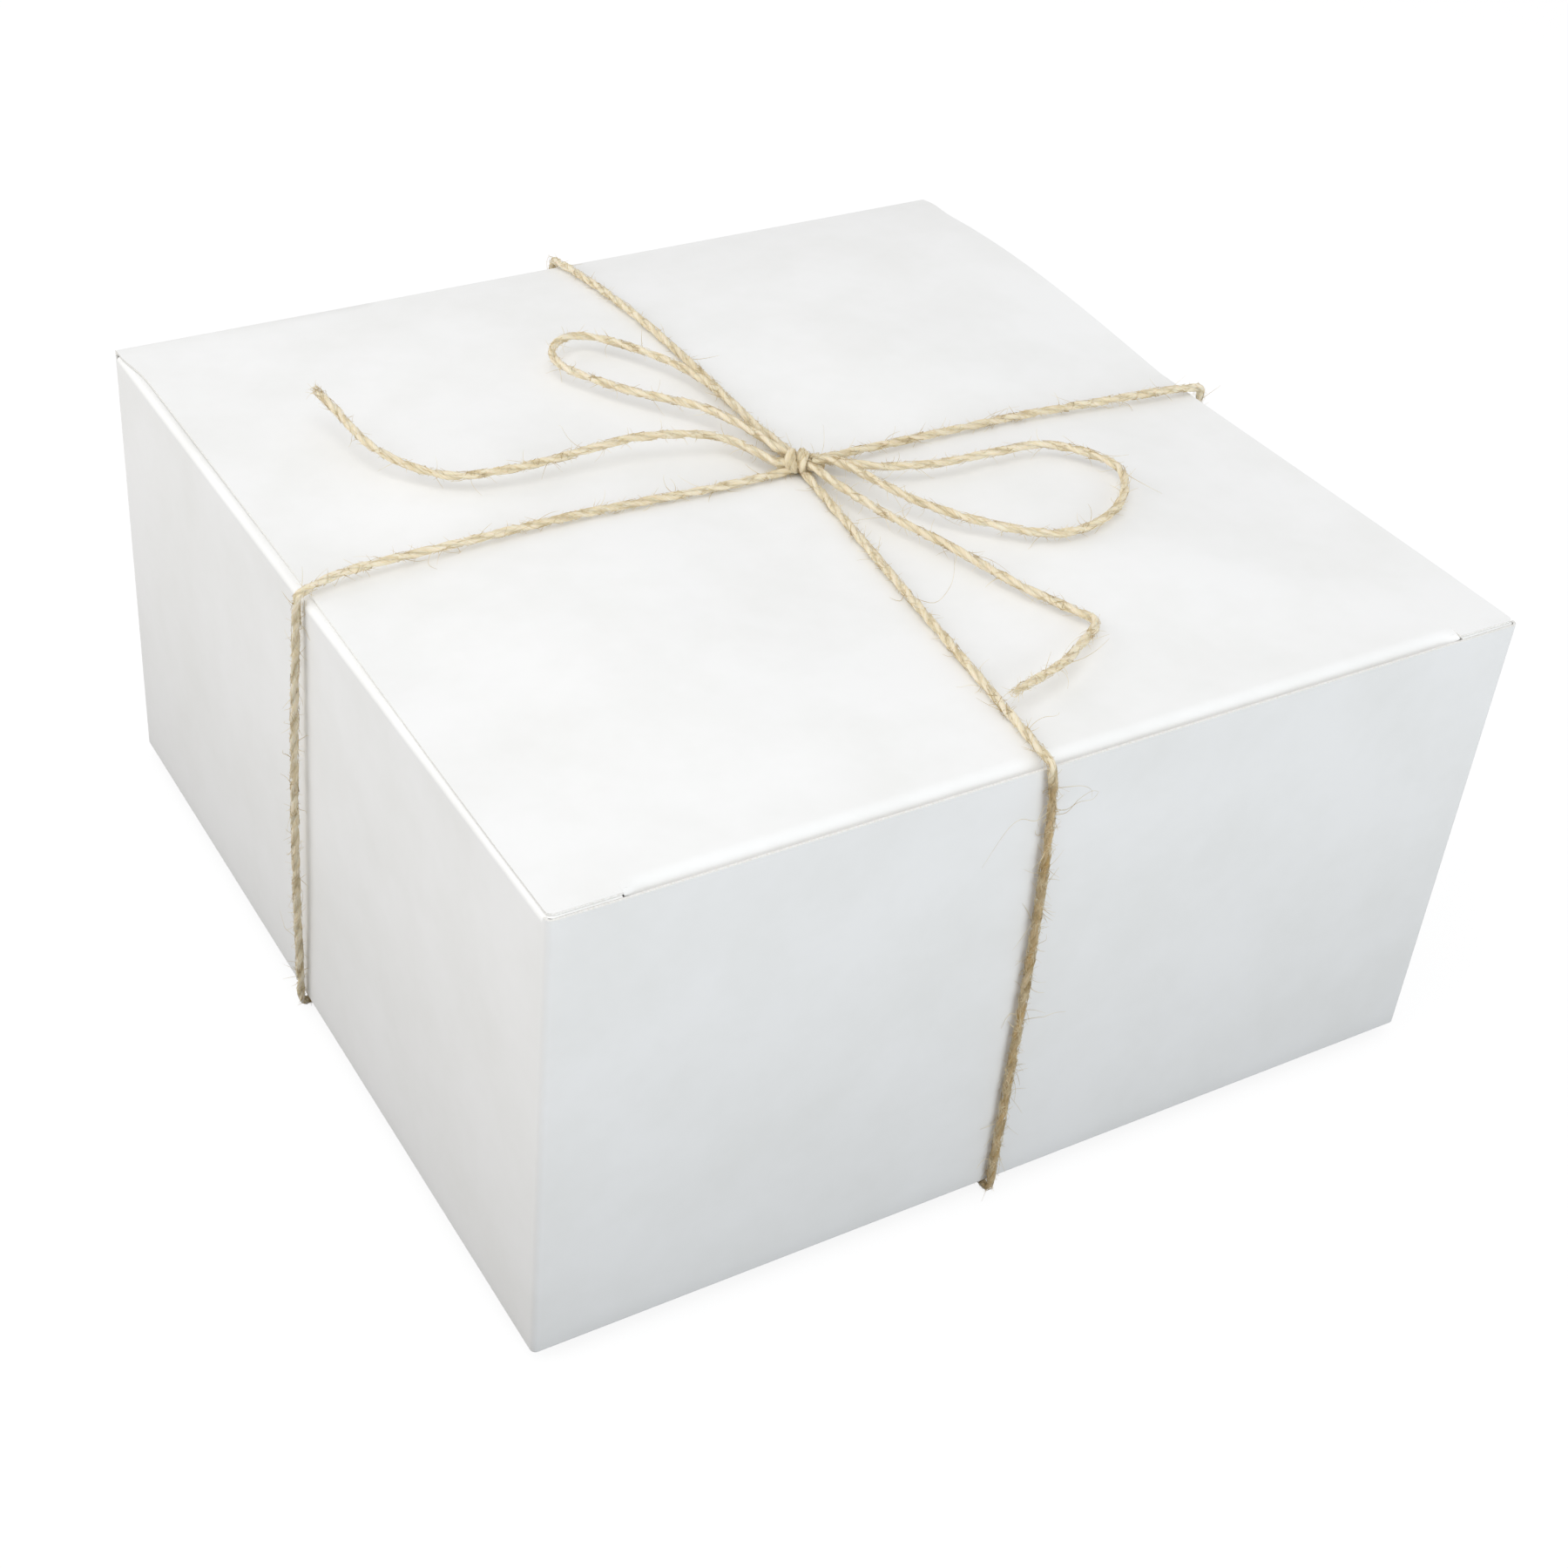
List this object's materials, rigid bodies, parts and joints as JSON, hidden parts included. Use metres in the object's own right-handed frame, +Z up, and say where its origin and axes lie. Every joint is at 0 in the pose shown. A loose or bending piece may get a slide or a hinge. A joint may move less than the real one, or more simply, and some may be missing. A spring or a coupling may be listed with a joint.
{
  "type": "gift box",
  "caption": "Square white tuck-top paperboard gift box with a hinged lid, dust flaps and locking base, tied both ways with jute twine in a bow.",
  "frame": {"origin": "centre of the footprint, on the surface the tied box stands on", "axes": "+X right along the tuck face, +Y towards the lid crease, +Z up"},
  "size_m": [0.2078, 0.2078, 0.1136],
  "materials": {
    "board": "satin clay-coated white paperboard",
    "board_inside": "matt uncoated white paperboard",
    "twine": "dry two-ply natural jute"
  },
  "bodies": {
    "carton": {"front_wall": "board", "back_wall": "board", "left_wall": "board", "right_wall": "board", "glue_flap": "board_inside", "base_back_flap": "board_inside", "base_left_flap": "board_inside", "base_right_flap": "board_inside", "base_front_flap": "board", "twine_base_cross": "twine"},
    "lid": {"lid_panel": "board"},
    "tuck": {"tuck_flap": "board"},
    "dust_left": {"left_dust_flap": "board_inside"},
    "dust_right": {"right_dust_flap": "board_inside"},
    "front_rise": {"twine_front_rise": "twine"},
    "front_top": {"twine_front_top": "twine"},
    "back_rise": {"twine_back_rise": "twine"},
    "back_top": {"twine_back_top": "twine"},
    "left_rise": {"twine_left_rise": "twine"},
    "left_top": {"twine_left_top": "twine"},
    "right_rise": {"twine_right_rise": "twine"},
    "right_top": {"twine_right_top": "twine"},
    "bow": {"bow_knot": "twine", "bow_loop_left": "twine", "bow_loop_right": "twine", "bow_tail_left": "twine", "bow_tail_right": "twine"}
  },
  "joints": [
    {"name": "lid_hinge", "type": "hinge", "parent": "carton", "child": "lid", "pos_m": [0, 0.1016, 0.1034], "axis": [-1, 0, 0], "range_deg": [0, 175]},
    {"name": "tuck_crease", "type": "hinge", "parent": "lid", "child": "tuck", "pos_m": [0, -0.09945, 0.10308], "axis": [-1, 0, 0], "range_deg": [0, 46]},
    {"name": "dust_left_crease", "type": "hinge", "parent": "carton", "child": "dust_left", "pos_m": [-0.1016, 0, 0.1029], "axis": [0, -1, 0], "range_deg": [0, 91]},
    {"name": "dust_right_crease", "type": "hinge", "parent": "carton", "child": "dust_right", "pos_m": [0.1016, 0, 0.1029], "axis": [0, 1, 0], "range_deg": [0, 91]},
    {"name": "front_fall", "type": "hinge", "parent": "carton", "child": "front_rise", "pos_m": [0, -0.1016, 0.0023], "axis": [1, 0, 0], "range_deg": [0, 91], "deforming": ["twine_front_rise"]},
    {"name": "front_unfold", "type": "hinge", "parent": "front_rise", "child": "front_top", "pos_m": [0, -0.1016, 0.1039], "axis": [1, 0, 0], "range_deg": [0, 91], "deforming": ["twine_front_top"]},
    {"name": "back_fall", "type": "hinge", "parent": "carton", "child": "back_rise", "pos_m": [0, 0.1016, 0.0023], "axis": [-1, 0, 0], "range_deg": [0, 91], "deforming": ["twine_back_rise"]},
    {"name": "back_unfold", "type": "hinge", "parent": "back_rise", "child": "back_top", "pos_m": [0, 0.1016, 0.1039], "axis": [-1, 0, 0], "range_deg": [0, 85], "deforming": ["twine_back_top"]},
    {"name": "left_fall", "type": "hinge", "parent": "carton", "child": "left_rise", "pos_m": [-0.1016, 0, 0.0023], "axis": [0, -1, 0], "range_deg": [0, 91], "deforming": ["twine_left_rise"]},
    {"name": "left_unfold", "type": "hinge", "parent": "left_rise", "child": "left_top", "pos_m": [-0.1016, 0, 0.1039], "axis": [0, -1, 0], "range_deg": [0, 91], "deforming": ["twine_left_top"]},
    {"name": "right_fall", "type": "hinge", "parent": "carton", "child": "right_rise", "pos_m": [0.1016, 0, 0.0023], "axis": [0, 1, 0], "range_deg": [0, 91], "deforming": ["twine_right_rise"]},
    {"name": "right_unfold", "type": "hinge", "parent": "right_rise", "child": "right_top", "pos_m": [0.1016, 0, 0.1039], "axis": [0, 1, 0], "range_deg": [0, 91], "deforming": ["twine_right_top"]},
    {"name": "bow_roll", "type": "hinge", "parent": "front_top", "child": "bow", "pos_m": [0.005, -0.0005, 0.1051], "axis": [-0.1179, -0.993, 0], "range_deg": [0, 181], "deforming": ["bow_knot", "bow_loop_left", "bow_loop_right", "bow_tail_left", "bow_tail_right"]}
  ],
  "couplings": [
    {"joint": "tuck_crease", "follows": "lid_hinge", "ratio": 0.25},
    {"joint": "dust_left_crease", "follows": "lid_hinge", "ratio": 0.5},
    {"joint": "dust_right_crease", "follows": "lid_hinge", "ratio": 0.5},
    {"joint": "front_fall", "follows": "lid_hinge", "ratio": 0.51429},
    {"joint": "front_unfold", "follows": "lid_hinge", "ratio": 0.51429},
    {"joint": "back_fall", "follows": "lid_hinge", "ratio": 0.51429},
    {"joint": "back_unfold", "follows": "lid_hinge", "ratio": 0.48},
    {"joint": "left_fall", "follows": "lid_hinge", "ratio": 0.51429},
    {"joint": "left_unfold", "follows": "lid_hinge", "ratio": 0.51429},
    {"joint": "right_fall", "follows": "lid_hinge", "ratio": 0.51429},
    {"joint": "right_unfold", "follows": "lid_hinge", "ratio": 0.51429},
    {"joint": "bow_roll", "follows": "lid_hinge", "ratio": 1.0286}
  ]
}
